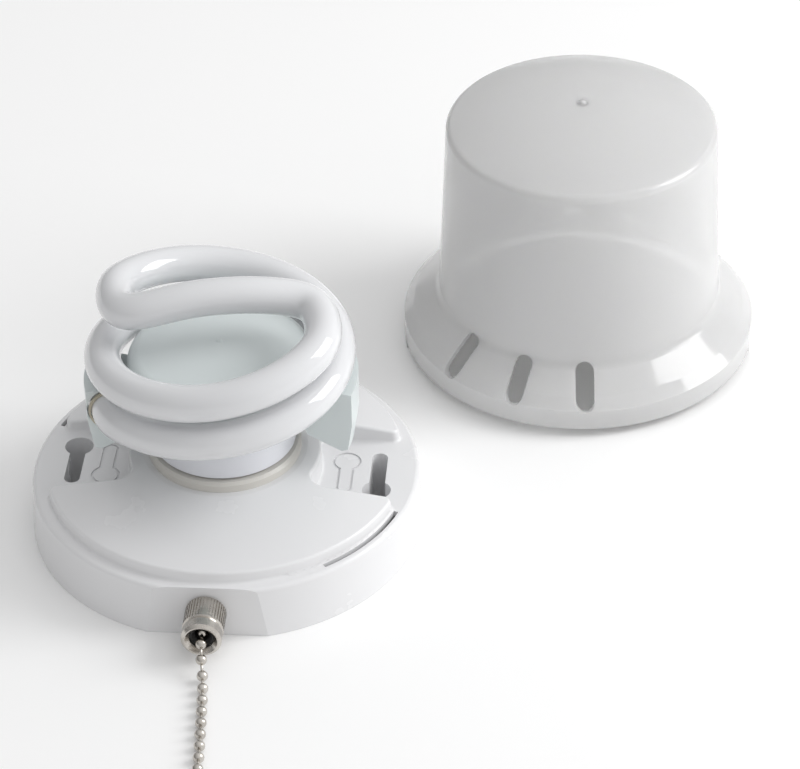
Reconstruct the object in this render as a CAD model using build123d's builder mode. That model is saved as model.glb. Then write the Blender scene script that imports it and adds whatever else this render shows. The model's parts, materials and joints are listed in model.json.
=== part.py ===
from build123d import *
import os
from math import asin, cos, degrees, pi, radians, sin, tan

# Pull-chain lampholder for a closet or porch: a round plastic base lying on its back, a two-pin
# compact spiral lamp twisted into it, a pull-chain switch behind its front wall, and the moulded
# cover, taken off and standing beside it.
# Frame, in millimetres: origin at the centre of the mounting face, +Z out of the ceiling towards
# the lamp, -Y the side where the chain comes out.

# ---- driving dimensions ----
WALL = 1.8
BASE_R = 57.15  # 4-1/2 in across
LEDGE_R = 56.4
LEDGE_Z = 16.8
FLAT_Y = 54.5  # the flat front that carries the chain outlet
PLATEAU_FOOT_R = 52.6
PLATEAU_R = 52.1
PLATEAU_Z = 20.2
DOME_R = 24.0
DOME_Z = 25.2
LAND_HALF = 15.0  # half width of the sunk strip with the screw slots
LAND_INNER_R = 28.0
OUTER_SLOT_X = 88.9 / 2  # 3-1/2 in between box screws
INNER_SLOT_X = 69.85 / 2  # 2-3/4 in between box screws
HEAD_R = 4.2
NECK_W = 4.6
OUTER_HEAD_Y = 8.0
OUTER_NECK_END = -7.0
INNER_HEAD_Y = -5.0
INNER_NECK_END = 7.2
ARC_SLOT_INNER = 53.1
ARC_SLOT_OUTER = 54.5
ARC_SLOT_START = -53.0
ARC_SLOT_SWEEP = 34.0

SOCKET_R = 20.0
RING_R = 22.2
RING_TOP = 28.2
PLATE_BOTTOM = 9.2  # socket base plate
PLATE_TOP = 11.2
PIN_CIRCLE_R = 12.0  # two pins 24 mm apart
PIN_HEAD_R = 2.5
PIN_NECK_R = 1.65
TWIST = 35.0  # degrees between lamp locked and lamp free

LAMP_FLOOR = 28.5
CAP_R = 20.7
CAP_TOP = 37.0
HOUSING_R = 26.6
HOUSING_SHOULDER = 56.7
HOUSING_TOP = 62.6
WING_R = 39.2
WING_TOP = 51.6
WING_BOTTOM = 31.2
WING_START = -14.0
WING_SWEEP = 32.0
TUBE_R = 5.3
COIL_R = 33.5
COIL_TOP = 72.0
COIL_PITCH = 26.4
COIL_LIFT = 2.4  # how much higher the coil starts than an even one
ENTRY_Z = 45.4

CHAIN_Z = 8.3
BEAD_R = 1.6
BEAD_PITCH = 4.6
CASE_BACK = -27.0
CASE_FRONT = -51.6
CASE_LEFT = -11.0
CASE_RIGHT = 7.0
CASE_FLOOR = 2.6
CASE_TOP = 14.2
CASE_WALL = 1.4
SLIDER_FRONT = -38.0
SLIDER_BACK = -30.0
ROTOR_X = -4.2
ROTOR_Y = -36.0
STAR_R = 4.4
FERRULE_R = 5.85
FERRULE_FRONT = -67.5
CHAIN_START = -66.0

COVER_X = 99.8
COVER_Y = 96.8
TAB_LENGTH = 2.9
COVER_APEX = 82.0
COVER_EDGE_Z = 74.2
COVER_TOP_R = 41.2
COVER_FOOT_R = 43.6
FLANGE_R = 54.4
SHADE = 1.6

# ---- the loose chain, from the ferrule mouth to the coil ----
CHAIN_ROUTE = [
    (0.0, -66.0, 8.3),
    (0.2, -69.8, 7.6),
    (0.8, -73.4, 2.6),
    (1.6, -78.6, 1.7),
    (2.5, -90.0, 1.63),
    (3.9, -108.0, 1.63),
    (5.0, -131.0, 1.63),
]
COIL_X = -15.3
COIL_Y = -141.0
CHAIN_COIL_OUTER = 22.1
CHAIN_COIL_INNER = 14.0


os.makedirs("parts", exist_ok=True)


def arc_band(inner_r, outer_r, start, sweep_angle):
    """Flat band between two radii about Z, as long as sweep_angle degrees."""
    with BuildSketch() as band:
        with BuildLine():
            outer = CenterArc((0, 0), outer_r, start, sweep_angle)
            inner = CenterArc((0, 0), inner_r, start, sweep_angle)
            Line(outer @ 0, inner @ 0)
            Line(outer @ 1, inner @ 1)
        make_face()
    return band.sketch


def dome_radius(rise, rim_r):
    """Radius of the sphere that rises so far over a rim."""
    return (rim_r**2 + rise**2) / (2 * rise)


def dome_angle(sphere_r, rim_r):
    """Angle at the sphere's centre from the axis to the rim, in degrees."""
    return degrees(asin(rim_r / sphere_r))


def keyhole(x, head_y, neck_end, grow=0.0):
    """Keyhole at -x from its head to its neck's end, and its twin half a turn round."""
    with BuildSketch() as outline:
        with PolarLocations(0, 2):
            with Locations((-x, head_y)):
                Circle(HEAD_R + grow)
            with Locations((-x, (head_y + neck_end) / 2)):
                Rectangle(NECK_W + 2 * grow, abs(head_y - neck_end))
            with Locations((-x, neck_end)):
                Circle(NECK_W / 2 + grow)
    return outline.sketch


def corner_radii(points):
    """Largest tangent arc at each corner of a cord's route: 0.45 of its shorter run."""
    radii = []
    for before, corner, after in zip(points, points[1:], points[2:]):
        run_in = Vector(*corner) - Vector(*before)
        run_out = Vector(*after) - Vector(*corner)
        half_turn = radians(run_in.get_angle(run_out)) / 2
        radii.append(0.45 * min(run_in.length, run_out.length) / tan(half_turn))
    return radii


OUTER_KEYHOLES = keyhole(OUTER_SLOT_X, OUTER_HEAD_Y, OUTER_NECK_END)
KEYHOLE_SLEEVES = keyhole(OUTER_SLOT_X, OUTER_HEAD_Y, OUTER_NECK_END, grow=WALL)
KNOCKOUT_RIM = keyhole(INNER_SLOT_X, INNER_HEAD_Y, INNER_NECK_END)
KNOCKOUT_CORE = keyhole(INNER_SLOT_X, INNER_HEAD_Y, INNER_NECK_END, grow=-0.7)
PIN_SLOT = arc_band(PIN_CIRCLE_R - PIN_NECK_R - 0.35, PIN_CIRCLE_R + PIN_NECK_R + 0.35, 90, TWIST)
ARC_SLOT = arc_band(ARC_SLOT_INNER, ARC_SLOT_OUTER, ARC_SLOT_START, ARC_SLOT_SWEEP)

# ======== BASE ========
SCREW_X = 25.0  # socket screws
BOSS_BOTTOM = PLATE_TOP

# Room for the wiring under the base: the shell's inside, less the sunk strip on each side.
with BuildPart() as wiring_room:
    with BuildSketch(Plane.XZ):
        Polygon(
            (0, -1),
            (BASE_R - WALL, -1),
            (LEDGE_R - WALL, LEDGE_Z - WALL),
            (PLATEAU_FOOT_R - WALL - 0.6, LEDGE_Z - WALL),
            (PLATEAU_R - WALL - 0.4, PLATEAU_Z - WALL),
            (DOME_R, DOME_Z - WALL),
            (0, DOME_Z - WALL),
            align=None,
        )
    revolve(axis=Axis.Z)
    with BuildSketch(Plane.XY.offset(LEDGE_Z - WALL)):
        Rectangle(2 * BASE_R, 2 * (LAND_HALF + WALL))
        Circle(LAND_INNER_R - WALL, mode=Mode.SUBTRACT)
    extrude(amount=DOME_Z, mode=Mode.SUBTRACT)
    with Locations((0, -FLAT_Y + WALL - 10, 0)):
        Box(2 * BASE_R, 20, 3 * DOME_Z, mode=Mode.SUBTRACT)


def is_plateau_corner(middle):
    """Whether an upright edge stands where the raised top's wall meets the sunk strip."""
    on_strip_edge = abs(abs(middle.Y) - LAND_HALF) < 0.2
    return on_strip_edge and abs(middle.X) > LAND_INNER_R + 10 and LEDGE_Z + 0.4 < middle.Z < PLATEAU_Z - 0.4


def is_plateau_rim(middle):
    """Whether an edge runs round the top of the raised halves."""
    return middle.Z > PLATEAU_Z - 0.3 and Vector(middle.X, middle.Y).length > DOME_R + 1


def is_plateau_foot(middle):
    """Whether an edge runs round the foot of the raised halves."""
    return abs(middle.Z - LEDGE_Z) < 0.05 and Vector(middle.X, middle.Y).length < PLATEAU_FOOT_R + 0.5


# The moulded shell: outer wall, ledge for the cover, raised top in two halves with a sunk strip
# between them, two through keyholes, two closed knock-outs, two arc slots for the cover's tabs.
with BuildPart() as base_housing:
    with BuildSketch(Plane.XZ):
        Polygon(
            (0, 0),
            (BASE_R, 0),
            (LEDGE_R, LEDGE_Z),
            (PLATEAU_FOOT_R, LEDGE_Z),
            (PLATEAU_R, PLATEAU_Z),
            (DOME_R, DOME_Z),
            (0, DOME_Z),
            align=None,
        )
    revolve(axis=Axis.Z)
    with Locations((0, -FLAT_Y - 10, 0)):
        Box(2 * BASE_R, 20, 3 * DOME_Z, mode=Mode.SUBTRACT)
    ledge_edge = edges().filter_by(GeomType.CIRCLE).filter_by(lambda e: abs(e.radius - LEDGE_R) < 0.01)
    fillet(ledge_edge, radius=1.4)
    with BuildSketch(Plane.XY.offset(LEDGE_Z)) as land_pockets:
        Rectangle(2 * BASE_R, 2 * LAND_HALF)
        Circle(LAND_INNER_R, mode=Mode.SUBTRACT)
        fillet(land_pockets.vertices().filter_by(lambda v: abs(v.X) < LAND_INNER_R), radius=4)
    extrude(amount=DOME_Z, mode=Mode.SUBTRACT)
    plateau_corners = edges().filter_by(lambda e: is_plateau_corner(e.center()))
    fillet(plateau_corners, radius=2.0)
    plateau_rims = edges().filter_by(lambda e: is_plateau_rim(e.center()))
    fillet(plateau_rims, radius=0.9)
    plateau_feet = edges().filter_by(lambda e: is_plateau_foot(e.center()))
    fillet(plateau_feet, radius=0.9)
    add(wiring_room.part, mode=Mode.SUBTRACT)
    with BuildSketch(Plane.XY):
        add(KEYHOLE_SLEEVES)
    extrude(amount=LEDGE_Z - WALL / 2)
    with BuildSketch(Plane.XY):
        with Locations((-SCREW_X, 0), (SCREW_X, 0)):
            Circle(3.2)
    extrude(amount=LEDGE_Z - WALL / 2)
    with BuildSketch(Plane.XY):
        Circle(SCREW_X + 5)
    extrude(amount=BOSS_BOTTOM, mode=Mode.SUBTRACT)
    with BuildSketch(Plane.XY.offset(BOSS_BOTTOM)):
        with Locations((-SCREW_X, 0), (SCREW_X, 0)):
            Circle(1.3)
    extrude(amount=LEDGE_Z - WALL - BOSS_BOTTOM, mode=Mode.SUBTRACT)
    with BuildSketch(Plane.XY.offset(-1)):
        add(OUTER_KEYHOLES)
        Circle(SOCKET_R + 0.3)
        with PolarLocations(0, 2):
            add(ARC_SLOT)
    extrude(amount=2 * DOME_Z, mode=Mode.SUBTRACT)
    with BuildSketch(Plane.XY.offset(LEDGE_Z - 0.5)):
        add(KNOCKOUT_RIM)
        add(KNOCKOUT_CORE, mode=Mode.SUBTRACT)
    extrude(amount=1, mode=Mode.SUBTRACT)
    with BuildSketch(Plane.XZ.offset(FLAT_Y - WALL - 2)):
        with Locations((0, CHAIN_Z)):
            Circle(4.9)
    extrude(amount=WALL + 4, mode=Mode.SUBTRACT)
base_housing.part.label = "base_housing"
export_step(base_housing.part, "parts/base_housing.step")

# ======== SOCKET ========
# Two-pin socket insert: a cream cup hung in the base by its ring, with a key-shaped arc slot for
# each lamp pin.
with BuildPart() as socket_body:
    with BuildSketch(Plane.XZ):
        Polygon(
            (0, DOME_Z),
            (SOCKET_R - WALL, DOME_Z),
            (SOCKET_R - WALL, PLATE_TOP),
            (SOCKET_R, PLATE_TOP),
            (SOCKET_R, DOME_Z),
            (RING_R, DOME_Z),
            (RING_R, RING_TOP - 0.8),
            (RING_R - 0.8, RING_TOP),
            (0, RING_TOP),
            align=None,
        )
    revolve(axis=Axis.Z)
    with BuildSketch(Plane.XY.offset(DOME_Z - 1)):
        with PolarLocations(0, 2):
            add(PIN_SLOT)
        with PolarLocations(PIN_CIRCLE_R, 2, start_angle=90):
            Circle(PIN_NECK_R + 0.35)
        with PolarLocations(PIN_CIRCLE_R, 2, start_angle=90 + TWIST):
            Circle(PIN_HEAD_R + 0.35)
    extrude(amount=RING_TOP, mode=Mode.SUBTRACT)
socket_body.part.label = "socket_body"
export_step(socket_body.part, "parts/socket_body.step")

# Plate that closes the cup from behind, with a lug each side for its screws.
RIVET_Y = 9.0
with BuildPart() as socket_base:
    with BuildSketch(Plane.XY.offset(PLATE_BOTTOM)):
        Circle(SOCKET_R)
        Rectangle(2 * SCREW_X, 8)
        with Locations((-SCREW_X, 0), (SCREW_X, 0)):
            Circle(4)
            Circle(1.75, mode=Mode.SUBTRACT)
        with Locations((0, -RIVET_Y), (0, RIVET_Y)):
            Circle(1.25, mode=Mode.SUBTRACT)
    extrude(amount=PLATE_TOP - PLATE_BOTTOM)
socket_base.part.label = "socket_base"
export_step(socket_base.part, "parts/socket_base.step")

# Pan-head screws up through the lugs into the base's bosses.
with BuildPart() as socket_screws:
    with Locations((-SCREW_X, 0, PLATE_BOTTOM), (SCREW_X, 0, PLATE_BOTTOM)):
        Cylinder(3.1, 1.9, align=(Align.CENTER, Align.CENTER, Align.MAX))
        Cylinder(1.25, 5.0, align=(Align.CENTER, Align.CENTER, Align.MIN))
    with Locations((-SCREW_X, 0, PLATE_BOTTOM - 1.9), (SCREW_X, 0, PLATE_BOTTOM - 1.9)):
        Box(0.9, 7, 1.8, mode=Mode.SUBTRACT)
socket_screws.part.label = "socket_screws"
export_step(socket_screws.part, "parts/socket_screws.step")

# Spring contacts: a foot riveted to the plate and a leaf that stands outside the pin's head.
CONTACT_T = 0.7
LEAF_Y = PIN_CIRCLE_R + PIN_HEAD_R + 0.4


def contact_profile(side):
    """Side view of a contact, in the YZ plane, on the side of Y that side names."""
    foot_top = PLATE_TOP + CONTACT_T
    with BuildSketch(Plane.YZ.offset(-3)) as profile:
        Polygon(
            (side * (RIVET_Y - 2.5), PLATE_TOP),
            (side * (LEAF_Y + CONTACT_T), PLATE_TOP),
            (side * (LEAF_Y + CONTACT_T), DOME_Z - 0.8),
            (side * LEAF_Y, DOME_Z - 0.8),
            (side * LEAF_Y, foot_top),
            (side * (RIVET_Y - 2.5), foot_top),
            align=None,
        )
    return profile.sketch


LINE_PROFILE = contact_profile(-1)
NEUTRAL_PROFILE = contact_profile(1)

with BuildPart() as socket_contact_line:
    extrude(LINE_PROFILE, amount=6)
    with Locations((0, -RIVET_Y, PLATE_TOP)):
        Cylinder(1.25, 4, mode=Mode.SUBTRACT)
socket_contact_line.part.label = "socket_contact_line"
export_step(socket_contact_line.part, "parts/socket_contact_line.step")

with BuildPart() as socket_contact_neutral:
    extrude(NEUTRAL_PROFILE, amount=6)
    with Locations((0, RIVET_Y, PLATE_TOP)):
        Cylinder(1.25, 4, mode=Mode.SUBTRACT)
socket_contact_neutral.part.label = "socket_contact_neutral"
export_step(socket_contact_neutral.part, "parts/socket_contact_neutral.step")

# Brass strap under the plate that takes the neutral supply wire.
STRAP_T = 0.8
STRAP_END = 26.0
with BuildPart() as neutral_terminal:
    with BuildSketch(Plane.YZ.offset(-3.5)):
        Polygon(
            (RIVET_Y - 3, PLATE_BOTTOM),
            (STRAP_END, PLATE_BOTTOM),
            (STRAP_END, 1.6),
            (STRAP_END - STRAP_T, 1.6),
            (STRAP_END - STRAP_T, PLATE_BOTTOM - STRAP_T),
            (RIVET_Y - 3, PLATE_BOTTOM - STRAP_T),
            align=None,
        )
    extrude(amount=7)
    with Locations((0, RIVET_Y, PLATE_BOTTOM)):
        Cylinder(1.25, 4, mode=Mode.SUBTRACT)
    with Locations(Location((0, STRAP_END, 5), (90, 0, 0))):
        Cylinder(1.8, 4, mode=Mode.SUBTRACT)
neutral_terminal.part.label = "neutral_terminal"
export_step(neutral_terminal.part, "parts/neutral_terminal.step")

# Rivets that hold each contact to the plate; the neutral one holds the strap too.
RIVET_R = 1.2
with BuildPart() as contact_rivets:
    with Locations((0, -RIVET_Y, PLATE_BOTTOM - 0.9), (0, RIVET_Y, PLATE_BOTTOM - STRAP_T - 0.9)):
        Cylinder(2.2, 0.9, align=(Align.CENTER, Align.CENTER, Align.MIN))
    with Locations((0, -RIVET_Y, PLATE_BOTTOM - 0.9), (0, RIVET_Y, PLATE_BOTTOM - STRAP_T - 0.9)):
        Cylinder(RIVET_R, 3.7 + STRAP_T, align=(Align.CENTER, Align.CENTER, Align.MIN))
    with Locations((0, -RIVET_Y, PLATE_TOP + CONTACT_T), (0, RIVET_Y, PLATE_TOP + CONTACT_T)):
        Cylinder(2.0, 0.7, align=(Align.CENTER, Align.CENTER, Align.MIN))
contact_rivets.part.label = "contact_rivets"
export_step(contact_rivets.part, "parts/contact_rivets.step")

# ======== PULL-CHAIN SWITCH ========
CASE_X = (CASE_LEFT + CASE_RIGHT) / 2
CASE_Y = (CASE_BACK + CASE_FRONT) / 2
CASE_WIDTH = CASE_RIGHT - CASE_LEFT
CASE_LENGTH = CASE_BACK - CASE_FRONT
ROOF = CASE_TOP - CASE_WALL
SUPPLY_Y = -42.0
LOAD_Y = -30.1
STRIP_W = 3.0
STRIP_BOTTOM = 2.7
STRIP_TOP = 3.2
STRIP_LEFT = -17.5
RIVET_POINTS = [(-8.3, -48.9), (4.4, -48.9)]
EYELET_R = 0.9

with BuildPart() as switch_case:
    with BuildSketch(Plane.XY.offset(CASE_FLOOR)):
        with Locations((CASE_X, CASE_Y)):
            RectangleRounded(CASE_WIDTH, CASE_LENGTH, 1.2)
    extrude(amount=CASE_TOP - CASE_FLOOR)
    with BuildSketch(Plane.XY.offset(CASE_FLOOR)):
        with Locations((CASE_X, CASE_Y)):
            Rectangle(CASE_WIDTH - 2 * CASE_WALL, CASE_LENGTH - 2 * CASE_WALL)
    extrude(amount=ROOF - CASE_FLOOR, mode=Mode.SUBTRACT)
    with BuildSketch(Plane.XY.offset(CASE_FLOOR)):
        with Locations((CASE_LEFT, SUPPLY_Y), (CASE_LEFT, LOAD_Y)):
            Rectangle(4, STRIP_W + 0.3)
    extrude(amount=STRIP_TOP - CASE_FLOOR + 0.1, mode=Mode.SUBTRACT)
    with BuildSketch(Plane.XY.offset(ROOF - 1)):
        with Locations(*RIVET_POINTS):
            Circle(EYELET_R + 0.05)
    extrude(amount=2 * CASE_WALL, mode=Mode.SUBTRACT)
    with BuildSketch(Plane.XZ.offset(-CASE_FRONT - 2 * CASE_WALL)):
        with Locations((0, CHAIN_Z)):
            Circle(2.3)
    extrude(amount=4 * CASE_WALL, mode=Mode.SUBTRACT)
switch_case.part.label = "switch_case"
export_step(switch_case.part, "parts/switch_case.step")

# Fibre plate that closes the switch from behind.
with BuildPart() as switch_cover:
    with BuildSketch(Plane.XY.offset(CASE_FLOOR - CASE_WALL)):
        with Locations((CASE_X, CASE_Y)):
            RectangleRounded(CASE_WIDTH, CASE_LENGTH, 1.2)
        with Locations(*RIVET_POINTS):
            Circle(EYELET_R + 0.05, mode=Mode.SUBTRACT)
    extrude(amount=CASE_WALL)
switch_cover.part.label = "switch_cover"
export_step(switch_cover.part, "parts/switch_cover.step")

with BuildPart() as switch_rivets:
    with BuildSketch(Plane.XY.offset(CASE_FLOOR - CASE_WALL)):
        with Locations(*RIVET_POINTS):
            Circle(EYELET_R)
    extrude(amount=CASE_TOP - CASE_FLOOR + CASE_WALL)
    with BuildSketch(Plane.XY.offset(CASE_TOP)):
        with Locations(*RIVET_POINTS):
            Circle(1.6)
    extrude(amount=0.5)
    with BuildSketch(Plane.XY.offset(CASE_FLOOR - CASE_WALL)):
        with Locations(*RIVET_POINTS):
            Circle(1.6)
    extrude(amount=-0.5)
switch_rivets.part.label = "switch_rivets"
export_step(switch_rivets.part, "parts/switch_rivets.step")


def terminal_strip(y, tab_height):
    """A strip through the case wall and its tab outside, for either fixed contact."""
    strip_length = ROTOR_X - STRIP_LEFT
    with BuildPart() as strip:
        with Locations((STRIP_LEFT, y, STRIP_BOTTOM)):
            Box(strip_length, STRIP_W, STRIP_TOP - STRIP_BOTTOM, align=(Align.MIN, Align.CENTER, Align.MIN))
        with Locations((STRIP_LEFT, y, STRIP_BOTTOM)):
            Box(0.8, STRIP_W + 4, tab_height, align=(Align.MIN, Align.CENTER, Align.MIN))
    return strip.part


SUPPLY_STRIP = terminal_strip(SUPPLY_Y, 8.0)
LOAD_STRIP = terminal_strip(LOAD_Y, 4.0)

# Fixed contact that takes the live supply wire, tapped for a terminal screw.
with BuildPart() as switch_contact_supply:
    add(SUPPLY_STRIP)
    with Locations(Location((STRIP_LEFT, SUPPLY_Y, 7.2), (0, 90, 0))):
        Cylinder(1.8, 4, mode=Mode.SUBTRACT)
switch_contact_supply.part.label = "switch_contact_supply"
export_step(switch_contact_supply.part, "parts/switch_contact_supply.step")

# Fixed contact that feeds the socket's line contact.
with BuildPart() as switch_contact_load:
    add(LOAD_STRIP)
switch_contact_load.part.label = "switch_contact_load"
export_step(switch_contact_load.part, "parts/switch_contact_load.step")


def terminal_screw():
    """Binding-head screw along +Z with its head's underside at the origin."""
    with BuildPart() as screw:
        Cylinder(3.0, 1.6, align=(Align.CENTER, Align.CENTER, Align.MIN))
        Cylinder(1.75, 4.0, align=(Align.CENTER, Align.CENTER, Align.MAX))
        with Locations((0, 0, 1.6)):
            Box(0.8, 7, 1.6, mode=Mode.SUBTRACT)
    return screw.part


TERMINAL_SCREW = terminal_screw()

with BuildPart() as terminal_screws:
    with Locations(Location((STRIP_LEFT, SUPPLY_Y, 7.2), (0, -90, 0))):
        add(TERMINAL_SCREW)
    with Locations(Location((0, STRAP_END, 5), (-90, 0, 0))):
        add(TERMINAL_SCREW)
terminal_screws.part.label = "terminal_screws"
export_step(terminal_screws.part, "parts/terminal_screws.step")

# Insulated wire from the switch to the socket's line contact.
LEAD_X = STRIP_LEFT + 2.4
with BuildPart() as switch_lead:
    with BuildLine():
        lead_path = FilletPolyline(
            (LEAD_X, LOAD_Y, STRIP_TOP),
            (LEAD_X, LOAD_Y, 6.3),
            (0, -RIVET_Y, 5.2),
            (0, -RIVET_Y, PLATE_BOTTOM - 0.9),
            radius=1.2,
        )
    with BuildSketch(Plane(lead_path @ 0, z_dir=lead_path % 0)):
        Circle(0.9)
    sweep()
switch_lead.part.label = "switch_lead"
export_step(switch_lead.part, "parts/switch_lead.step")

# Threaded nipple that carries the switch in the base's front wall.
with BuildPart() as switch_nipple:
    with BuildSketch(Plane.XZ.offset(-CASE_FRONT)):
        with Locations((0, CHAIN_Z)):
            Circle(4.6)
            Circle(2.3, mode=Mode.SUBTRACT)
    extrude(amount=10.4)
    for turn_number in range(6):
        with BuildSketch(Plane.XZ.offset(FLAT_Y + 0.6 + turn_number * 1.1)):
            with Locations((0, CHAIN_Z)):
                Circle(6)
                Circle(4.25, mode=Mode.SUBTRACT)
        extrude(amount=0.45, mode=Mode.SUBTRACT)
switch_nipple.part.label = "switch_nipple"
export_step(switch_nipple.part, "parts/switch_nipple.step")

# Nickel-plated nut on the nipple: straight knurl next to the base, a smooth band, a dished mouth.
KNURL_FRONT = 62.6
KNURL_COUNT = 40
KNURL_DEPTH = 0.45
with BuildPart() as chain_ferrule:
    with BuildSketch(Plane.YZ):
        Polygon(
            (-FLAT_Y, CHAIN_Z + 4.7),
            (-FLAT_Y, CHAIN_Z + FERRULE_R - 0.5),
            (-FLAT_Y - 0.5, CHAIN_Z + FERRULE_R),
            (-KNURL_FRONT, CHAIN_Z + FERRULE_R),
            (-KNURL_FRONT - 0.3, CHAIN_Z + FERRULE_R - 0.55),
            (-KNURL_FRONT - 0.9, CHAIN_Z + FERRULE_R - 0.55),
            (-KNURL_FRONT - 1.2, CHAIN_Z + FERRULE_R - 0.1),
            (FERRULE_FRONT + 0.9, CHAIN_Z + FERRULE_R - 0.1),
            (FERRULE_FRONT, CHAIN_Z + FERRULE_R - 0.9),
            (FERRULE_FRONT, CHAIN_Z + 4.6),
            (FERRULE_FRONT + 1.3, CHAIN_Z + 3.5),
            (FERRULE_FRONT + 2.1, CHAIN_Z + 3.5),
            (FERRULE_FRONT + 2.1, CHAIN_Z + 4.7),
            align=None,
        )
    revolve(axis=Axis((0, 0, CHAIN_Z), (0, 1, 0)))
    with BuildSketch(Plane.XZ.offset(FLAT_Y)):
        with Locations((0, CHAIN_Z)):
            with PolarLocations(FERRULE_R + 0.1, KNURL_COUNT):
                Rectangle(2 * KNURL_DEPTH, 0.42)
    extrude(amount=KNURL_FRONT - FLAT_Y, mode=Mode.SUBTRACT)
chain_ferrule.part.label = "chain_ferrule"
export_step(chain_ferrule.part, "parts/chain_ferrule.step")

# Black nylon bush behind the mouth, belled so that the chain can pull sideways.
with BuildPart() as chain_guide:
    with BuildSketch(Plane.YZ):
        Polygon(
            (FERRULE_FRONT + 2.15, CHAIN_Z + 4.6),
            (FERRULE_FRONT + 2.15, CHAIN_Z + 2.9),
            (FERRULE_FRONT + 3.0, CHAIN_Z + 2.15),
            (-62.1, CHAIN_Z + 2.15),
            (-62.1, CHAIN_Z + 4.6),
            align=None,
        )
    revolve(axis=Axis((0, 0, CHAIN_Z), (0, 1, 0)))
chain_guide.part.label = "chain_guide"
export_step(chain_guide.part, "parts/chain_guide.step")

# ======== MOVING PIECES OF THE SWITCH ========
FINGER_BOTTOM = 3.9
with BuildPart() as pull_slider:
    with Locations((0, SLIDER_FRONT, CHAIN_Z)):
        Box(4.4, SLIDER_BACK - SLIDER_FRONT, 3.8, align=(Align.CENTER, Align.MIN, Align.CENTER))
    with Locations((1.0, SLIDER_BACK, CHAIN_Z)):
        Box(1.2, 1.6, CHAIN_Z - FINGER_BOTTOM, align=(Align.MIN, Align.MAX, Align.MAX))
pull_slider.part.label = "pull_slider"
export_step(pull_slider.part, "parts/pull_slider.step")

SPRING_R = 2.7
SPRING_WIRE_R = 0.3
SPRING_LENGTH = 11.5
SPRING_TURNS = 6
SPRING_START = SLIDER_FRONT - SPRING_WIRE_R - 0.05
with BuildPart() as return_spring:
    with BuildLine():
        spring_path = Helix(
            pitch=SPRING_LENGTH / SPRING_TURNS,
            height=SPRING_LENGTH,
            radius=SPRING_R,
            center=(0, SPRING_START, CHAIN_Z),
            direction=(0, -1, 0),
        )
    with BuildSketch(Plane(spring_path @ 0, z_dir=spring_path % 0)):
        Circle(SPRING_WIRE_R)
    sweep(is_frenet=True)
return_spring.part.label = "return_spring"
export_step(return_spring.part, "parts/return_spring.step")

# Beads between the slider and the ferrule mouth.
LEAD_LENGTH = SLIDER_FRONT - CHAIN_START
with BuildPart() as chain_lead:
    with Locations(Location((0, SLIDER_FRONT, CHAIN_Z), (90, 0, 0))):
        Cylinder(0.5, LEAD_LENGTH, align=(Align.CENTER, Align.CENTER, Align.MIN))
    for bead_number in range(int(LEAD_LENGTH / BEAD_PITCH)):
        with Locations((0, SLIDER_FRONT - (bead_number + 0.5) * BEAD_PITCH, CHAIN_Z)):
            Sphere(BEAD_R)
chain_lead.part.label = "chain_lead"
export_step(chain_lead.part, "parts/chain_lead.step")

CHAIN_RADII = corner_radii(CHAIN_ROUTE)
print("chain arc radii", [round(r, 1) for r in CHAIN_RADII])
with BuildPart() as pull_chain:
    with BuildLine():
        chain_path = FilletPolyline(*CHAIN_ROUTE, radius=CHAIN_RADII)
    with BuildSketch(Plane(chain_path @ 0, z_dir=chain_path % 0)):
        Circle(BEAD_R)
    sweep()
print("chain tube volume over section times length",
      round(pull_chain.part.volume / (pi * BEAD_R**2 * chain_path.length), 4))
pull_chain.part.label = "pull_chain"
export_step(pull_chain.part, "parts/pull_chain.step")

# The put-away length, a flat coil a little over one turn round.
with BuildPart() as chain_coil:
    with BuildSketch(Plane.XY):
        with Locations((COIL_X, COIL_Y)):
            Circle(CHAIN_COIL_OUTER)
            Circle(CHAIN_COIL_INNER, mode=Mode.SUBTRACT)
    extrude(amount=2 * BEAD_R)
    fillet(edges().filter_by(GeomType.CIRCLE), radius=0.8)
chain_coil.part.label = "chain_coil"
export_step(chain_coil.part, "parts/chain_coil.step")

# Bell on the chain's end, lying on its side inside the coil.
BELL_R = 3.2
BELL_LENGTH = 9.0
BELL_X = COIL_X - 11.8
BELL_Y = COIL_Y - 3.5
BELL_DIRECTION = (0.31, 0.95, 0)
BELL_PLANE = Plane(origin=(BELL_X, BELL_Y, BELL_R + 0.05), x_dir=(0, 0, 1), z_dir=(-0.95, 0.31, 0))
with BuildPart() as chain_end_bell:
    with BuildSketch(BELL_PLANE):
        with BuildLine():
            neck = Line((0, 0), (1.5, 0))
            collar = Line(neck @ 1, (1.9, 0.8))
            flare = Spline(collar @ 1, (2.1, 4.6), (BELL_R, BELL_LENGTH))
            lip = Line(flare @ 1, (BELL_R - 0.7, BELL_LENGTH))
            inside = Spline(lip @ 1, (1.3, 5.0), (0, 4.0))
            Line(inside @ 1, neck @ 0)
        make_face()
    revolve(axis=Axis((BELL_X, BELL_Y, BELL_R + 0.05), BELL_DIRECTION))
chain_end_bell.part.label = "chain_end_bell"
export_step(chain_end_bell.part, "parts/chain_end_bell.step")

# Four-tooth star wheel on its pin, with a brass bridge under it that joins the fixed contacts.
PIN_R = 1.0
STAR_BOTTOM = 3.6
STAR_TOP = 6.0
with BuildPart() as rotor_pin:
    with Locations((ROTOR_X, ROTOR_Y, CASE_FLOOR)):
        Cylinder(PIN_R, ROOF - CASE_FLOOR, align=(Align.CENTER, Align.CENTER, Align.MIN))
rotor_pin.part.label = "rotor_pin"
export_step(rotor_pin.part, "parts/rotor_pin.step")

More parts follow.
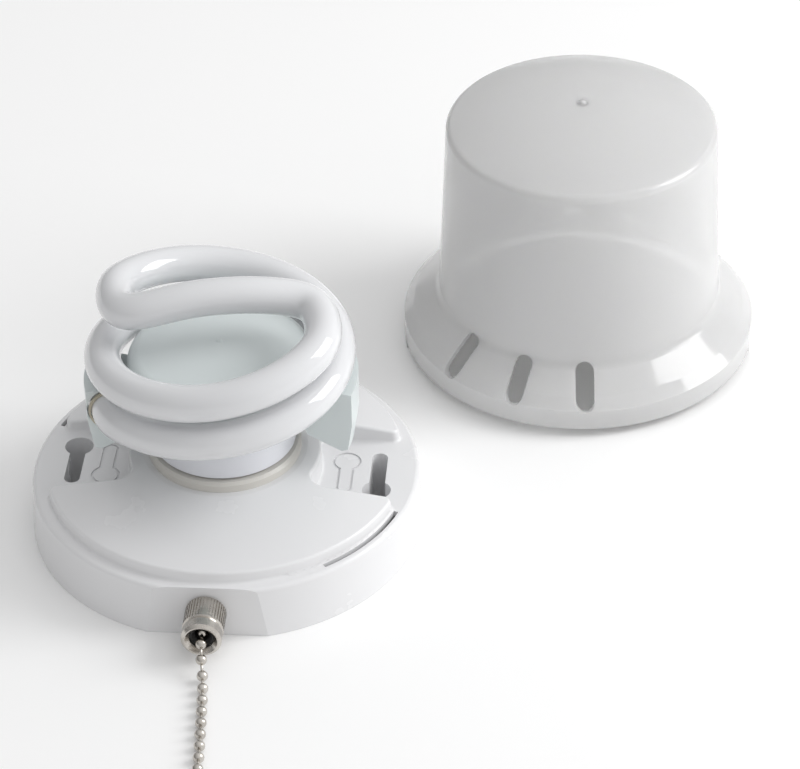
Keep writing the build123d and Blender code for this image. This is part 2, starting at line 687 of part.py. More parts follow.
with BuildPart() as star_wheel:
    with BuildSketch(Plane.XY.offset(STAR_BOTTOM)):
        with Locations((ROTOR_X, ROTOR_Y)):
            Circle(2.6)
            with PolarLocations(0, 4, start_angle=45):
                with Locations((STAR_R / 2, 0)):
                    Trapezoid(3.6, STAR_R, 74, rotation=-90)
            Circle(PIN_R + 0.05, mode=Mode.SUBTRACT)
    extrude(amount=STAR_TOP - STAR_BOTTOM)
star_wheel.part.label = "star_wheel"
export_step(star_wheel.part, "parts/star_wheel.step")

BRIDGE_LENGTH = 10.2
with BuildPart() as contact_bridge:
    with BuildSketch(Plane.XY.offset(STAR_BOTTOM - 0.35)):
        with Locations((ROTOR_X, ROTOR_Y)):
            SlotOverall(BRIDGE_LENGTH, 3.0, rotation=90)
            Circle(PIN_R + 0.05, mode=Mode.SUBTRACT)
    extrude(amount=0.35)
contact_bridge.part.label = "contact_bridge"
export_step(contact_bridge.part, "parts/contact_bridge.step")

# ======== LAMP ========
# Cup that stands on the socket ring.
with BuildPart() as lamp_base_cap:
    with BuildSketch(Plane.XZ):
        Polygon(
            (0, LAMP_FLOOR),
            (CAP_R - 0.8, LAMP_FLOOR),
            (CAP_R, LAMP_FLOOR + 0.8),
            (CAP_R, CAP_TOP),
            (CAP_R - WALL, CAP_TOP),
            (CAP_R - WALL, LAMP_FLOOR + WALL),
            (0, LAMP_FLOOR + WALL),
            align=None,
        )
    revolve(axis=Axis.Z)
    with BuildSketch(Plane.XY.offset(LAMP_FLOOR - 1)):
        with Locations((0, PIN_CIRCLE_R), (0, -PIN_CIRCLE_R)):
            Circle(PIN_NECK_R + 0.02)
    extrude(amount=2 * WALL, mode=Mode.SUBTRACT)
lamp_base_cap.part.label = "lamp_base_cap"
export_step(lamp_base_cap.part, "parts/lamp_base_cap.step")

# Two headed pins, 24 mm apart.
PIN_HEAD_TOP = DOME_Z - 0.4
with BuildPart() as lamp_pins:
    with Locations((0, PIN_CIRCLE_R, PIN_HEAD_TOP), (0, -PIN_CIRCLE_R, PIN_HEAD_TOP)):
        Cylinder(PIN_NECK_R, LAMP_FLOOR + WALL + 1 - PIN_HEAD_TOP, align=(Align.CENTER, Align.CENTER, Align.MIN))
        Cylinder(PIN_HEAD_R, 2.2, align=(Align.CENTER, Align.CENTER, Align.MAX))
lamp_pins.part.label = "lamp_pins"
export_step(lamp_pins.part, "parts/lamp_pins.step")


CORNER_R = COIL_R + 1.1  # the tangent arcs pass inside their corners by about this much


def coil_point(turned):
    """Corner of the coil's route after so many degrees clockwise from its left end."""
    angle = radians(180 - turned)
    lift = COIL_LIFT * max(0, 1 - turned / 90)
    return (CORNER_R * cos(angle), CORNER_R * sin(angle), COIL_TOP + lift - COIL_PITCH * turned / 360)


def half_turn_round(point):
    """The same point on the lamp's other leg."""
    return (-point[0], -point[1], point[2])


# Each leg's centre line: the crossing over the top, a tight bend at the side, nearly a turn
# down the coil, and a short dip into the wing's hole.
ENTRY_ANGLE = radians(198)
ENTRY_R = 33.0
ENTRY = (ENTRY_R * cos(ENTRY_ANGLE), ENTRY_R * sin(ENTRY_ANGLE), ENTRY_Z)
ENTRY_DIRECTION = Vector(sin(ENTRY_ANGLE), -cos(ENTRY_ANGLE), -0.08).normalized()
TUBE_END = tuple(Vector(*ENTRY) + ENTRY_DIRECTION * 5)
COIL_STEPS = 8
FIRST_STEP = 30.0
LAST_STEP = 306.0
COIL_STEP = (LAST_STEP - FIRST_STEP) / COIL_STEPS
leg = [(-9.5, -2.4, 78.2), (-21.5, -6.0, 77.8), (-31.0, -3.2, 76.4), (-34.4, 6.0, 74.6)]
leg += [coil_point(FIRST_STEP + step * COIL_STEP) for step in range(COIL_STEPS + 1)]
leg += [tuple(Vector(*ENTRY) - ENTRY_DIRECTION * 7), TUBE_END]
other_leg = [half_turn_round(point) for point in leg]
TUBE_ROUTE = leg[::-1] + other_leg
TUBE_RADII = corner_radii(TUBE_ROUTE)
print("lamp tube arc radii", [round(r, 1) for r in TUBE_RADII])

with BuildPart() as spiral_tube:
    with BuildLine():
        tube_path = FilletPolyline(*TUBE_ROUTE, radius=TUBE_RADII)
    with BuildSketch(Plane(tube_path @ 0, z_dir=tube_path % 0)):
        Circle(TUBE_R)
    sweep()
spiral_tube.part.label = "spiral_tube"
export_step(spiral_tube.part, "parts/spiral_tube.step")

# Housing of the lamp's ballast, with a wing each side that takes one end of the tube.
ENTRY_PLANES = [
    Plane(origin=ENTRY, z_dir=ENTRY_DIRECTION),
    Plane(origin=half_turn_round(ENTRY), z_dir=half_turn_round(tuple(ENTRY_DIRECTION))),
]
DIMPLE_Z = 36.0
CROWN_RIM = HOUSING_R - 4
CROWN_R = dome_radius(HOUSING_TOP - HOUSING_SHOULDER - 3.6, CROWN_RIM)
CROWN_ANGLE = dome_angle(CROWN_R, CROWN_RIM)
with BuildPart() as lamp_housing:
    with BuildSketch(Plane.XZ):
        with BuildLine():
            skirt = Polyline((CAP_R - 2, CAP_TOP), (CAP_R, CAP_TOP), (HOUSING_R, 42), (HOUSING_R, HOUSING_SHOULDER))
            shoulder = ThreePointArc(skirt @ 1, (HOUSING_R - 1.1, HOUSING_SHOULDER + 2.2),
                                     (CROWN_RIM, HOUSING_SHOULDER + 3.6))
            crown = CenterArc((0, HOUSING_TOP - CROWN_R), CROWN_R, 90 - CROWN_ANGLE, CROWN_ANGLE)
            ceiling = CenterArc((0, HOUSING_TOP - CROWN_R), CROWN_R - WALL, 90 - CROWN_ANGLE, CROWN_ANGLE)
            Line(crown @ 1, ceiling @ 1)
            Polyline(ceiling @ 0, (HOUSING_R - WALL, HOUSING_SHOULDER - 2), (HOUSING_R - WALL, 42.6), skirt @ 0)
        make_face()
    revolve(axis=Axis.Z)
    for wing_turn in (0, 180):
        wing_plane = Plane.XZ.rotated((0, 0, WING_START + wing_turn), ordering=Extrinsic.XYZ)
        with BuildSketch(wing_plane):
            Polygon(
                (HOUSING_R - 1, 43.0),
                (CAP_R + 3.5, 38.5),
                (CAP_R + 5, WING_BOTTOM + 3.6),
                (WING_R - 3.4, WING_BOTTOM),
                (WING_R - 1.4, WING_BOTTOM + 0.8),
                (WING_R, 41),
                (WING_R, WING_TOP),
                (HOUSING_R - 1, WING_TOP),
                align=None,
            )
        revolve(axis=Axis.Z, revolution_arc=WING_SWEEP)
    for hole_plane in ENTRY_PLANES:
        with BuildSketch(hole_plane):
            Circle(TUBE_R + 0.9)
        extrude(amount=6.5, both=True, mode=Mode.SUBTRACT)
    with Locations((-WING_R, 0, DIMPLE_Z), (WING_R, 0, DIMPLE_Z)):
        Box(2.4, 1.0, 2.6, mode=Mode.SUBTRACT)
lamp_housing.part.label = "lamp_housing"
export_step(lamp_housing.part, "parts/lamp_housing.step")

# Collars of cement where the tube enters each wing.
with BuildPart() as tube_cement:
    for collar_plane in ENTRY_PLANES:
        with BuildSketch(collar_plane.offset(-1.6)):
            Circle(TUBE_R + 0.6)
            Circle(TUBE_R + 0.05, mode=Mode.SUBTRACT)
        extrude(amount=1.2)
tube_cement.part.label = "tube_cement"
export_step(tube_cement.part, "parts/tube_cement.step")

# Ballast inside the lamp housing.
BOARD_Z = 43.0
BOARD_T = 1.6
with BuildPart() as ballast_board:
    with Locations((0, 0, BOARD_Z)):
        Cylinder(HOUSING_R - WALL - 0.4, BOARD_T, align=(Align.CENTER, Align.CENTER, Align.MIN))
ballast_board.part.label = "ballast_board"
export_step(ballast_board.part, "parts/ballast_board.step")

with BuildPart() as ballast_capacitor:
    with Locations((-9, 8, BOARD_Z + BOARD_T)):
        Cylinder(5, 11, align=(Align.CENTER, Align.CENTER, Align.MIN))
ballast_capacitor.part.label = "ballast_capacitor"
export_step(ballast_capacitor.part, "parts/ballast_capacitor.step")

with BuildPart() as ballast_choke:
    with Locations((6, -7, BOARD_Z + BOARD_T)):
        Box(14, 11, 9, align=(Align.CENTER, Align.CENTER, Align.MIN))
        Box(8, 13, 8, align=(Align.CENTER, Align.CENTER, Align.MIN))
ballast_choke.part.label = "ballast_choke"
export_step(ballast_choke.part, "parts/ballast_choke.step")

with BuildPart() as ballast_transistors:
    with Locations((7, 9, BOARD_Z + BOARD_T), (15, 9, BOARD_Z + BOARD_T)):
        Box(5, 3, 8, align=(Align.CENTER, Align.CENTER, Align.MIN))
ballast_transistors.part.label = "ballast_transistors"
export_step(ballast_transistors.part, "parts/ballast_transistors.step")

# ======== COVER ========
# Milky moulded cover with a flared foot, two groups of three vent slots, and a tab each side
# that drops into the base's arc slots.
VENT_ANGLES = (-135, -110, -86)
SLOPE_R = 51.4  # where the flare turns down into the rim
TAB_ARC = 16.0
TAB_FOOT_ARC = 20.0
TAB_FOOT_T = 0.8
TAB_NECK = arc_band(ARC_SLOT_INNER + 0.25, ARC_SLOT_OUTER - 0.25, -TAB_ARC / 2, TAB_ARC)
TAB_FOOT = arc_band(ARC_SLOT_INNER + 0.25, ARC_SLOT_OUTER - 0.25, -TAB_ARC / 2, TAB_FOOT_ARC)
FOOT_PLANE = Plane((COVER_X, COVER_Y, TAB_LENGTH))
COVER_XZ = Plane(origin=(COVER_X, COVER_Y, TAB_LENGTH), x_dir=(1, 0, 0), z_dir=(0, -1, 0))
COVER_AXIS = Axis((COVER_X, COVER_Y, 0), (0, 0, 1))
TOP_R = dome_radius(COVER_APEX - COVER_EDGE_Z, COVER_TOP_R)
TOP_ANGLE = dome_angle(TOP_R, COVER_TOP_R)
UNDER_ANGLE = dome_angle(TOP_R - SHADE, COVER_TOP_R - SHADE)
with BuildPart() as cover_shade:
    with BuildSketch(COVER_XZ) as shade_profile:
        with BuildLine():
            top = CenterArc((0, COVER_APEX - TOP_R), TOP_R, 90, -TOP_ANGLE)
            underside = CenterArc((0, COVER_APEX - TOP_R), TOP_R - SHADE, 90, -UNDER_ANGLE)
            Line(top @ 0, underside @ 0)
            Polyline(
                top @ 1,
                (COVER_FOOT_R, 16.2),
                (SLOPE_R, 9.8),
                (FLANGE_R, 6.6),
                (FLANGE_R, 0),
                (FLANGE_R - 1.4, 0),
                (FLANGE_R - 1.4, 5.8),
                (SLOPE_R - 1.0, 8.5),
                (COVER_FOOT_R - SHADE, 15.4),
                underside @ 1,
            )
        make_face()
    revolve(axis=COVER_AXIS)
    for bend_r, bend_fillet in ((COVER_TOP_R, 2.6), (COVER_FOOT_R, 4), (SLOPE_R, 3)):
        bend = edges().filter_by(GeomType.CIRCLE).filter_by(lambda e: abs(e.radius - bend_r) < 0.01)
        fillet(bend, radius=bend_fillet)
    for group_turn in (0, 180):
        for vent_angle in VENT_ANGLES:
            azimuth = radians(vent_angle + group_turn)
            with BuildSketch(Plane(origin=(COVER_X, COVER_Y, TAB_LENGTH + 11.6), x_dir=(0, 0, 1),
                                   z_dir=(cos(azimuth), sin(azimuth), 0)).offset(40)):
                SlotOverall(11.4, 5.6)
            extrude(amount=18, mode=Mode.SUBTRACT)
    with BuildSketch(FOOT_PLANE.offset(1.0)):
        with PolarLocations(0, 2):
            add(TAB_NECK)
    extrude(amount=-TAB_LENGTH - 1.0)
    with BuildSketch(FOOT_PLANE.offset(TAB_FOOT_T - TAB_LENGTH)):
        with PolarLocations(0, 2):
            add(TAB_FOOT)
    extrude(amount=-TAB_FOOT_T)
cover_shade.part.label = "cover_shade"
export_step(cover_shade.part, "parts/cover_shade.step")
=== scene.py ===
import json
import math

import bmesh
import bpy
from mathutils import Matrix, Vector


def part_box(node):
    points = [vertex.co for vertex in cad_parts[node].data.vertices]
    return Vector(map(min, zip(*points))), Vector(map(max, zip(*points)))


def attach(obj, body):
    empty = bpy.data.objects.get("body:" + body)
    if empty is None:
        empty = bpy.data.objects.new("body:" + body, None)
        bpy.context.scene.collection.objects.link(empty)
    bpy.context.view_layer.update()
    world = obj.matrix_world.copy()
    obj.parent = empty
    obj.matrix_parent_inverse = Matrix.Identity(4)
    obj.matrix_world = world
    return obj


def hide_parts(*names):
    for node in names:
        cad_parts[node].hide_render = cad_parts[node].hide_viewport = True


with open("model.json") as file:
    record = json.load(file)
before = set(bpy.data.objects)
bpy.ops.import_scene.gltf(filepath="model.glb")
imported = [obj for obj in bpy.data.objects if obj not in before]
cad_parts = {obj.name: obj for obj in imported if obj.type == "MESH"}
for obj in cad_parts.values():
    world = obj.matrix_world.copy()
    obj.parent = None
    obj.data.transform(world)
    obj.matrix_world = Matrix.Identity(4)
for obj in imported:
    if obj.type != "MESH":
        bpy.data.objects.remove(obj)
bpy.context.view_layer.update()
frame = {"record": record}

MM = 0.001

# ======== camera ========
FOCAL_PIXELS = 3395
IMAGE_WIDTH = 800
SENSOR = 36.0
DISTANCE = 1.000
ELEVATION = 0.6386  # radians above the floor
AZIMUTH = 0.0803  # radians round to the right
ROLL = -0.0161
TARGET = Vector((0.0491, 0.0257, 0.030))

back = Vector((
    math.sin(AZIMUTH) * math.cos(ELEVATION),
    -math.cos(AZIMUTH) * math.cos(ELEVATION),
    math.sin(ELEVATION),
))
level_right = Vector((math.cos(AZIMUTH), math.sin(AZIMUTH), 0))
level_up = back.cross(level_right)
camera_right = level_right * math.cos(ROLL) + level_up * math.sin(ROLL)
camera_up = level_up * math.cos(ROLL) - level_right * math.sin(ROLL)
camera_data = bpy.data.cameras.new("camera")
camera_data.sensor_width = SENSOR
camera_data.lens = FOCAL_PIXELS * SENSOR / IMAGE_WIDTH
camera_data.clip_end = 50
camera = bpy.data.objects.new("camera", camera_data)
camera.matrix_world = Matrix.Translation(TARGET + back * DISTANCE) @ Matrix(
    (camera_right, camera_up, back)
).transposed().to_4x4()
bpy.context.scene.collection.objects.link(camera)
bpy.context.scene.camera = camera


def link(name, mesh):
    """New object of a mesh, in the scene."""
    piece = bpy.data.objects.new(name, mesh)
    bpy.context.scene.collection.objects.link(piece)
    return piece


def line_points(name, control_points, order):
    """Points along a NURBS spline through the scene's own control points."""
    curve = bpy.data.curves.new(name, "CURVE")
    curve.dimensions = "3D"
    curve.resolution_u = 12
    spline = curve.splines.new("NURBS")
    spline.points.add(len(control_points) - 1)
    for point, position in zip(spline.points, control_points):
        point.co = (*position, 1)
    spline.order_u = order
    spline.use_endpoint_u = True
    holder = bpy.data.objects.new(name, curve)
    mesh = bpy.data.meshes.new_from_object(holder)
    points = [vertex.co.copy() for vertex in mesh.vertices]
    bpy.data.objects.remove(holder)
    bpy.data.meshes.remove(mesh)
    bpy.data.curves.remove(curve)
    return points


def walk(points, start, step):
    """Positions and directions every step along a line, from start."""
    stations = []
    travelled = 0.0
    wanted = start
    for here, there in zip(points, points[1:]):
        stretch = (there - here).length
        while stretch and travelled + stretch >= wanted:
            share = (wanted - travelled) / stretch
            stations.append((here.lerp(there, share), (there - here).normalized()))
            wanted += step
        travelled += stretch
    return stations


# ======== pull chain ========
BEAD_R = 1.6 * MM
BEAD_PITCH = 4.6 * MM
LINK_R = 0.42 * MM
CHAIN_ROUTE = [
    (0.0, -0.0660, 0.0083),
    (0.0002, -0.0698, 0.0076),
    (0.0008, -0.0734, 0.0026),
    (0.0016, -0.0786, 0.0017),
    (0.0025, -0.0900, 0.00163),
    (0.0039, -0.1080, 0.00163),
    (0.0050, -0.1310, 0.00163),
]
COIL_CENTRE = (-0.0153, -0.1410)
COIL_START_R = 20.3 * MM
COIL_DRAW_IN = 3.4 * MM  # per turn
COIL_TURNS = 1.35
COIL_STEP = 20  # degrees
FLOOR_LINE = 1.63 * MM

for degrees in range(0, round(360 * COIL_TURNS) + 1, COIL_STEP):
    radius = COIL_START_R - COIL_DRAW_IN * degrees / 360
    angle = math.radians(-degrees)
    CHAIN_ROUTE.append((
        COIL_CENTRE[0] + radius * math.cos(angle),
        COIL_CENTRE[1] + radius * math.sin(angle),
        FLOOR_LINE,
    ))
COIL_TAIL = [
    (-0.0122, -0.0104, 0.00163),
    (-0.0131, -0.0068, 0.0022),
    (-0.0118, -0.0036, 0.0032),
]  # from the coil's centre, in to the bell
for inward_x, inward_y, height in COIL_TAIL:
    CHAIN_ROUTE.append((COIL_CENTRE[0] + inward_x, COIL_CENTRE[1] + inward_y, height))

chain_line = line_points("chain_line", CHAIN_ROUTE, 3)
FIRST_BEAD = 1.9 * MM
FLAT_FROM = 0.93  # in bead radii along the chain
FLAT_SHRINK = 0.9


def bead_chain(name, points):
    """Ball chain along a line: balls with a flat where each short link goes in."""
    mesh = bpy.data.meshes.new(name)
    shape = bmesh.new()
    stations = walk(points, FIRST_BEAD, BEAD_PITCH)
    for centre, direction in stations:
        turn = direction.to_track_quat("Z", "Y").to_matrix().to_4x4()
        ball = bmesh.ops.create_uvsphere(shape, u_segments=20, v_segments=12, radius=BEAD_R)
        for vertex in ball["verts"]:
            reach = abs(vertex.co.z) / BEAD_R
            if reach > FLAT_FROM:
                vertex.co.z *= FLAT_SHRINK
        bmesh.ops.transform(shape, matrix=Matrix.Translation(centre) @ turn, verts=ball["verts"])
    link_ends = [points[0]] + [centre for centre, direction in stations] + [points[-1]]
    for here, there in zip(link_ends, link_ends[1:]):
        along = there - here
        turn = along.to_track_quat("Z", "Y").to_matrix().to_4x4()
        rod = bmesh.ops.create_cone(
            shape, cap_ends=True, segments=10, radius1=LINK_R, radius2=LINK_R, depth=along.length
        )
        bmesh.ops.transform(shape, matrix=Matrix.Translation((here + there) / 2) @ turn, verts=rod["verts"])
    shape.to_mesh(mesh)
    shape.free()
    mesh.shade_smooth()
    return link(name, mesh)


chain = bead_chain("bead_chain", chain_line)
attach(chain, "pull_chain_set")
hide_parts("pull_chain", "chain_coil")


# ======== materials ========
def new_material(name, color, roughness, **sockets):
    """Principled material whose even values sit on the shader's own sockets."""
    made = bpy.data.materials.new(name)
    made.use_nodes = True
    shader = made.node_tree.nodes["Principled BSDF"]
    shader.inputs["Base Color"].default_value = (*color, 1)
    shader.inputs["Roughness"].default_value = roughness
    for socket, value in sockets.items():
        shader.inputs[socket.replace("_", " ")].default_value = value
    return made


def noise_node(made, scale, detail=3.0, stretch=(1, 1, 1)):
    """Noise over the object's own coordinates; scale is in features per metre."""
    tree = made.node_tree
    place = tree.nodes.new("ShaderNodeTexCoord")
    mapping = tree.nodes.new("ShaderNodeMapping")
    mapping.inputs["Scale"].default_value = stretch
    grain = tree.nodes.new("ShaderNodeTexNoise")
    grain.inputs["Scale"].default_value = scale
    grain.inputs["Detail"].default_value = detail
    tree.links.new(place.outputs["Object"], mapping.inputs["Vector"])
    tree.links.new(mapping.outputs["Vector"], grain.inputs["Vector"])
    return grain


def vary_color(made, scale, low, high, detail=3.0, stretch=(1, 1, 1)):
    """Colour that drifts between two tones."""
    tree = made.node_tree
    ramp = tree.nodes.new("ShaderNodeValToRGB")
    ramp.color_ramp.elements[0].position = 0.3
    ramp.color_ramp.elements[0].color = (*low, 1)
    ramp.color_ramp.elements[1].position = 0.7
    ramp.color_ramp.elements[1].color = (*high, 1)
    grain = noise_node(made, scale, detail, stretch)
    tree.links.new(grain.outputs["Fac"], ramp.inputs["Fac"])
    tree.links.new(ramp.outputs["Color"], tree.nodes["Principled BSDF"].inputs["Base Color"])


def vary_roughness(made, scale, low, high, stretch=(1, 1, 1)):
    """Gloss that drifts between two values, as on handled or moulded surfaces."""
    tree = made.node_tree
    spread = tree.nodes.new("ShaderNodeMapRange")
    spread.inputs["From Min"].default_value = 0.3
    spread.inputs["From Max"].default_value = 0.7
    spread.inputs["To Min"].default_value = low
    spread.inputs["To Max"].default_value = high
    grain = noise_node(made, scale, 4.0, stretch)
    tree.links.new(grain.outputs["Fac"], spread.inputs["Value"])
    tree.links.new(spread.outputs["Result"], tree.nodes["Principled BSDF"].inputs["Roughness"])


def add_bump(made, scale, height, detail=2.0, stretch=(1, 1, 1)):
    """Fine relief, height in metres."""
    tree = made.node_tree
    bump = tree.nodes.new("ShaderNodeBump")
    bump.inputs["Strength"].default_value = 1.0
    bump.inputs["Distance"].default_value = height
    grain = noise_node(made, scale, detail, stretch)
    tree.links.new(grain.outputs["Fac"], bump.inputs["Height"])
    tree.links.new(bump.outputs["Normal"], tree.nodes["Principled BSDF"].inputs["Normal"])


# Scales are in features per metre, heights in metres.
FLOW_SCALE = 30
GLOSS_SCALE = 60
SKIN_SCALE = 900
SKIN_HEIGHT = 0.000002
TARNISH_SCALE = 260
HANDLING_SCALE = 700
SCRATCH_SCALE = 2500
SCRATCH_HEIGHT = 0.000006


def moulded(name, low, high, rough_low, rough_high, **sockets):
    """Moulded plastic: faint flow marks in colour and gloss, and a very fine skin texture."""
    made = new_material(name, high, rough_low, **sockets)
    vary_color(made, FLOW_SCALE, low, high, 1.0)
    vary_roughness(made, GLOSS_SCALE, rough_low, rough_high)
    add_bump(made, SKIN_SCALE, SKIN_HEIGHT)
    return made


def metal(name, low, high, rough_low, rough_high, stretch=(1, 1, 1)):
    """Bare or plated metal with slight tarnish and handling marks."""
    made = new_material(name, high, rough_low, Metallic=1.0)
    vary_color(made, TARNISH_SCALE, low, high, stretch=stretch)
    vary_roughness(made, HANDLING_SCALE, rough_low, rough_high, stretch)
    add_bump(made, SCRATCH_SCALE, SCRATCH_HEIGHT, stretch=stretch)
    return made


SCATTER = (0.004, 0.004, 0.004)
MATERIALS = {
    "base_plastic": moulded("base_plastic", (0.755, 0.755, 0.765), (0.77, 0.77, 0.78), 0.22, 0.28),
    "socket_cream": moulded("socket_cream", (0.62, 0.60, 0.56), (0.68, 0.66, 0.62), 0.34, 0.44),
    "cap_plastic": moulded("cap_plastic", (0.74, 0.75, 0.79), (0.78, 0.79, 0.83), 0.30, 0.38),
    "lamp_plastic": moulded("lamp_plastic", (0.66, 0.71, 0.71), (0.70, 0.75, 0.75), 0.28, 0.36,
                            Subsurface_Weight=0.1, Subsurface_Radius=SCATTER, Subsurface_Scale=0.3),
    "shade_milky": moulded("shade_milky", (0.95, 0.95, 0.945), (0.96, 0.96, 0.955), 0.06, 0.10,
                           Transmission_Weight=0.4, Subsurface_Weight=0.9,
                           Subsurface_Radius=(0.005, 0.005, 0.0048),
                           Subsurface_Scale=1.0, IOR=1.49),
    "tube_glass": moulded("tube_glass", (0.69, 0.695, 0.71), (0.72, 0.725, 0.74), 0.05, 0.08,
                          Subsurface_Weight=0.15, Subsurface_Radius=SCATTER, Subsurface_Scale=0.5,
                          Coat_Weight=0.6, Coat_Roughness=0.03),
    "cement": moulded("cement", (0.42, 0.38, 0.29), (0.52, 0.48, 0.38), 0.75, 0.9),
    "switch_plastic": moulded("switch_plastic", (0.02, 0.017, 0.015), (0.035, 0.03, 0.027), 0.4, 0.55),
    "fibre": moulded("fibre", (0.10, 0.045, 0.02), (0.16, 0.08, 0.04), 0.6, 0.8),
    "wire_black": moulded("wire_black", (0.015, 0.015, 0.015), (0.03, 0.03, 0.03), 0.4, 0.5),
    "guide_black": moulded("guide_black", (0.008, 0.008, 0.008), (0.018, 0.018, 0.018), 0.4, 0.5),
    "board": moulded("board", (0.03, 0.10, 0.04), (0.05, 0.15, 0.06), 0.35, 0.5),
    "component_black": moulded("component_black", (0.015, 0.015, 0.018), (0.03, 0.03, 0.034), 0.35, 0.5),
    "nickel": metal("nickel", (0.52, 0.49, 0.45), (0.66, 0.63, 0.59), 0.16, 0.30),
    "steel": metal("steel", (0.50, 0.50, 0.51), (0.60, 0.60, 0.61), 0.28, 0.42),
    "brass": metal("brass", (0.56, 0.40, 0.16), (0.70, 0.52, 0.24), 0.25, 0.4),
}


def dress(piece, slot_name):
    """Give a piece its slot's material and nothing else."""
    piece.data.materials.clear()
    piece.data.materials.append(MATERIALS[slot_name])


slot_of = {part["node"]: part["material_slot"] for part in frame["record"]["subparts"]}
for node_name, slot_name in slot_of.items():
    node = bpy.data.objects.get(node_name)
    if node is not None:
        for material_slot in node.material_slots:
            material_slot.material = MATERIALS[slot_name]
dress(chain, "nickel")


# ======== lamp tube ========
TUBE_R = 5.3 * MM
COIL_R = 33.75 * MM
COIL_TOP = 72.0 * MM
COIL_PITCH = 26.4 * MM
COIL_LIFT = 2.4 * MM
COIL_FROM = 24
COIL_TO = 316
TUBE_STEP = 15
ENTRY_ANGLE = math.radians(198)
ENTRY_R = 33.0 * MM
ENTRY_Z = 45.4 * MM


def coil_point(turned):
    """Point on the lamp's coil after so many degrees clockwise from its left end."""
    angle = math.radians(180 - turned)
    lift = COIL_LIFT * max(0, 1 - turned / 90)
    return (COIL_R * math.cos(angle), COIL_R * math.sin(angle), COIL_TOP + lift - COIL_PITCH * turned / 360)


leg = [
    (-0.0050, -0.0010, 0.0780),
    (-0.0120, -0.0026, 0.0771),
    (-0.0185, -0.0040, 0.0758),
    (-0.0238, -0.0044, 0.0746),
    (-0.0280, -0.0020, 0.0737),
    (-0.0302, 0.0040, 0.0730),
    (-0.0310, 0.0108, 0.0725),
]
leg += [coil_point(turned) for turned in range(COIL_FROM + 6, COIL_TO, TUBE_STEP)]
entry = Vector((ENTRY_R * math.cos(ENTRY_ANGLE), ENTRY_R * math.sin(ENTRY_ANGLE), ENTRY_Z))
entry_direction = Vector((math.sin(ENTRY_ANGLE), -math.cos(ENTRY_ANGLE), -0.08)).normalized()
leg += [tuple(entry - entry_direction * 0.007), tuple(entry), tuple(entry + entry_direction * 0.005)]
tube_route = leg[::-1] + [(-x, -y, z) for x, y, z in leg]


def swept_tube(name, points, radius, sides=32):
    """Closed round tube along a line, its rings turned with the line without twisting."""
    mesh = bpy.data.meshes.new(name)
    shape = bmesh.new()
    rings = []
    across = Vector((0, 0, 1))
    for index, centre in enumerate(points):
        before = points[max(index - 1, 0)]
        after = points[min(index + 1, len(points) - 1)]
        direction = (after - before).normalized()
        across = (across - direction * across.dot(direction)).normalized()
        beside = direction.cross(across)
        ring = []
        for side in range(sides):
            angle = 2 * math.pi * side / sides
            outward = across * math.cos(angle) + beside * math.sin(angle)
            ring.append(shape.verts.new(centre + outward * radius))
        rings.append(ring)
    for ring, following in zip(rings, rings[1:]):
        for side in range(sides):
            shape.faces.new((ring[side], ring[side - 1], following[side - 1], following[side]))
    shape.faces.new(rings[0])
    shape.faces.new(rings[-1][::-1])
    bmesh.ops.recalc_face_normals(shape, faces=shape.faces)
    shape.to_mesh(mesh)
    shape.free()
    mesh.shade_smooth()
    return link(name, mesh)


tube_line = [point for point, direction in walk(line_points("tube_line", tube_route, 4), 0.0, 0.0016)]
lamp_tube = swept_tube("lamp_tube", tube_line, TUBE_R)
dress(lamp_tube, "tube_glass")
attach(lamp_tube, "lamp")
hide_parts("spiral_tube")


# ======== small moulded marks ========
NUB_PROFILE = [
    (0, 1.0),
    (0.35, 0.96),
    (0.6, 0.7),
    (0.75, 0.35),
    (1.0, 0.12),
    (1.5, 0.0),
    (1.5, -0.5),
    (0, -0.5),
]  # in radii out and heights up


def gate_mark(name, centre, radius, height, body, slot_name):
    """Low round nub with a soft collar, where the mould was filled."""
    mesh = bpy.data.meshes.new(name)
    shape = bmesh.new()
    outline = []
    for out, up in NUB_PROFILE:
        place = (centre[0] + out * radius, centre[1], centre[2] + up * height)
        outline.append(shape.verts.new(place))
    edges = [shape.edges.new(pair) for pair in zip(outline, outline[1:])]
    bmesh.ops.spin(shape, geom=outline + edges, cent=centre, axis=(0, 0, 1), angle=2 * math.pi, steps=28)
    bmesh.ops.remove_doubles(shape, verts=shape.verts, dist=1e-6)
    bmesh.ops.recalc_face_normals(shape, faces=shape.faces)
    shape.to_mesh(mesh)
    shape.free()
    mesh.shade_smooth()
    nub = link(name, mesh)
    dress(nub, slot_name)
    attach(nub, body)
    return nub


MARK_SUNK = 0.1 * MM
cover_low, cover_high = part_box("cover_shade")
cover_x = (cover_low[0] + cover_high[0]) / 2
cover_y = (cover_low[1] + cover_high[1]) / 2
cover_mark = (cover_x, cover_y, cover_high[2] - MARK_SUNK)
gate_mark("cover_gate_mark", cover_mark, 1.5 * MM, 0.8 * MM, "cover", "shade_milky")
housing_mark = (0, 0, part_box("lamp_housing")[1][2] - MARK_SUNK)
gate_mark("housing_gate_mark", housing_mark, 1.2 * MM, 0.5 * MM, "lamp", "lamp_plastic")

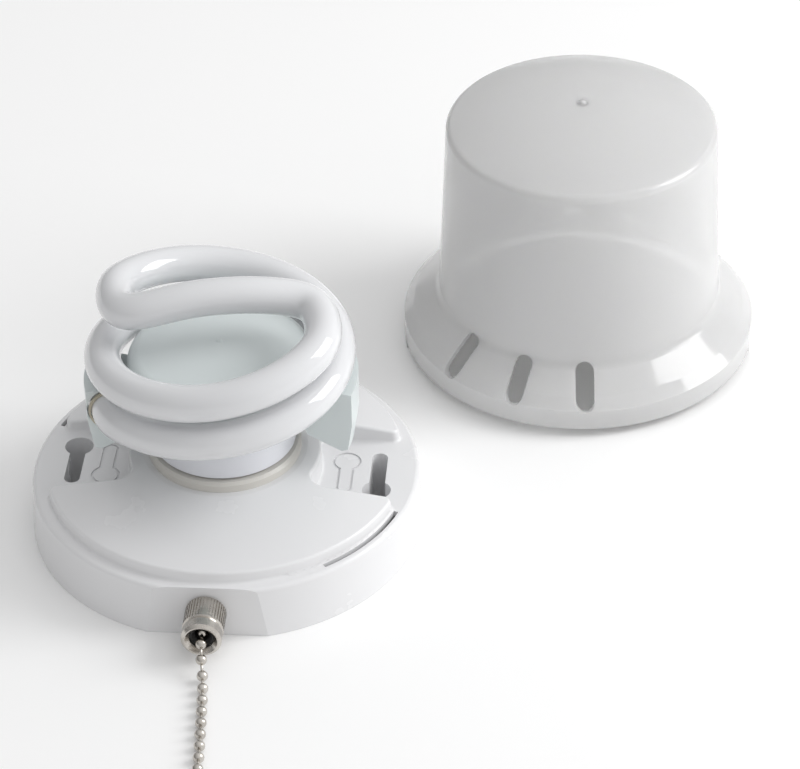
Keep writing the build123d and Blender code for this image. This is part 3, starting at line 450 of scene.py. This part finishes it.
# ======== floor and light ========
FLOOR_HALF = 4.0
FLOOR_GAP = 0.05 * MM  # keeps the floor off the base's underside
floor_mesh = bpy.data.meshes.new("floor")
floor_corners = [
    (-FLOOR_HALF, -FLOOR_HALF, 0),
    (FLOOR_HALF, -FLOOR_HALF, 0),
    (FLOOR_HALF, FLOOR_HALF, 0),
    (-FLOOR_HALF, FLOOR_HALF, 0),
]
floor_mesh.from_pydata(floor_corners, [], [(0, 1, 2, 3)])
floor = link("floor", floor_mesh)
floor.location.z = -FLOOR_GAP
floor_paint = new_material("floor_paint", (0.96, 0.96, 0.96), 0.9)
floor_mesh.materials.append(floor_paint)

# Even light, brighter from the right and from above.
SKY_LEVEL = 0.52
SKY_FROM_RIGHT = 0.34
SKY_FROM_ABOVE = 0.34
world = bpy.data.worlds.new("world")
world.use_nodes = True
sky = world.node_tree
sky_place = sky.nodes.new("ShaderNodeTexCoord")
sky_parts = sky.nodes.new("ShaderNodeSeparateXYZ")
sky.links.new(sky_place.outputs["Generated"], sky_parts.inputs["Vector"])
from_right = sky.nodes.new("ShaderNodeMath")
from_right.operation = "MULTIPLY_ADD"
from_right.inputs[1].default_value = SKY_FROM_RIGHT
from_right.inputs[2].default_value = SKY_LEVEL
sky.links.new(sky_parts.outputs["X"], from_right.inputs[0])
from_above = sky.nodes.new("ShaderNodeMath")
from_above.operation = "MULTIPLY_ADD"
from_above.inputs[1].default_value = SKY_FROM_ABOVE
sky.links.new(sky_parts.outputs["Z"], from_above.inputs[0])
sky.links.new(from_right.outputs["Value"], from_above.inputs[2])
sky.nodes["Background"].inputs["Color"].default_value = (1, 1, 1, 1)
sky.links.new(from_above.outputs["Value"], sky.nodes["Background"].inputs["Strength"])
bpy.context.scene.world = world
bpy.context.scene.view_settings.view_transform = "Standard"


def softbox(name, position, aim, width, height, power):
    """Rectangular area light that faces a point."""
    data = bpy.data.lights.new(name, "AREA")
    data.shape = "RECTANGLE"
    data.size = width
    data.size_y = height
    data.energy = power
    light = bpy.data.objects.new(name, data)
    light.location = position
    light.rotation_euler = (Vector(aim) - Vector(position)).to_track_quat("-Z", "Y").to_euler()
    bpy.context.scene.collection.objects.link(light)


CENTRE = (0.05, 0.03, 0.04)
softbox("key_right", (0.85, 0.12, 0.58), CENTRE, 0.45, 0.6, 5.0)
